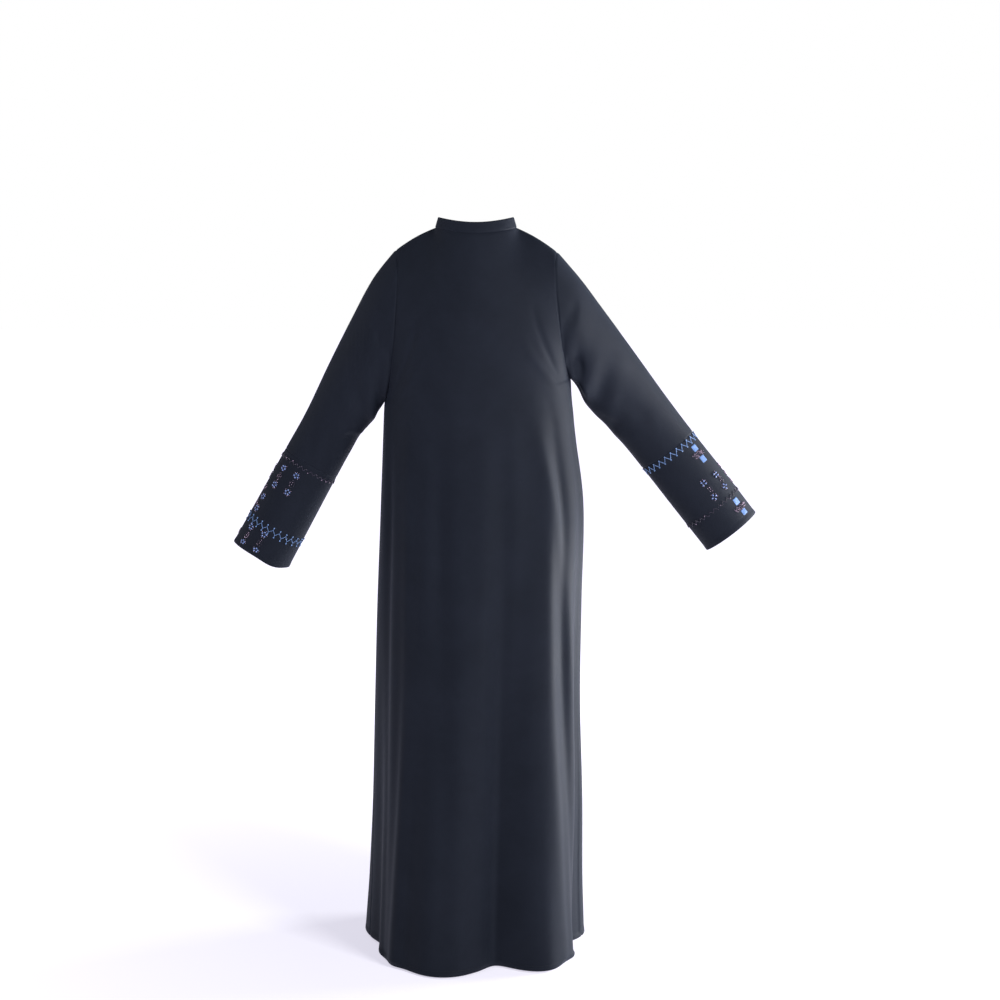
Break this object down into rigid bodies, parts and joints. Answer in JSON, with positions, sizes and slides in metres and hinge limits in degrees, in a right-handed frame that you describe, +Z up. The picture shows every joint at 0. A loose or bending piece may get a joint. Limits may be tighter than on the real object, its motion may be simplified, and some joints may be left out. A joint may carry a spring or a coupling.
{
  "type": "abaya",
  "caption": "Loose full-length black crepe abaya, worn with the arms held out and down, with embroidered and beaded cuffs.",
  "frame": {"origin": "middle of the neck opening at the height of the shoulder seams, where the wearer's shoulders hold the robe up", "axes": "+Z up, +Y the way the wearer faces, +X towards the wearer's right hand; the picture looks along +Y at the back"},
  "size_m": [1.077, 0.4466, 1.4624],
  "materials": {
    "crepe": "matt black crepe with a fine grain",
    "cuff_crepe": "matt black crepe, embroidered in light blue thread with small beads and sequins"
  },
  "bodies": {
    "root": {"back": "crepe", "front_left": "crepe", "front_right": "crepe", "neckband": "crepe", "sleeve_left": "crepe", "sleeve_right": "crepe", "cuff_left": "cuff_crepe", "cuff_right": "cuff_crepe"}
  },
  "joints": []
}
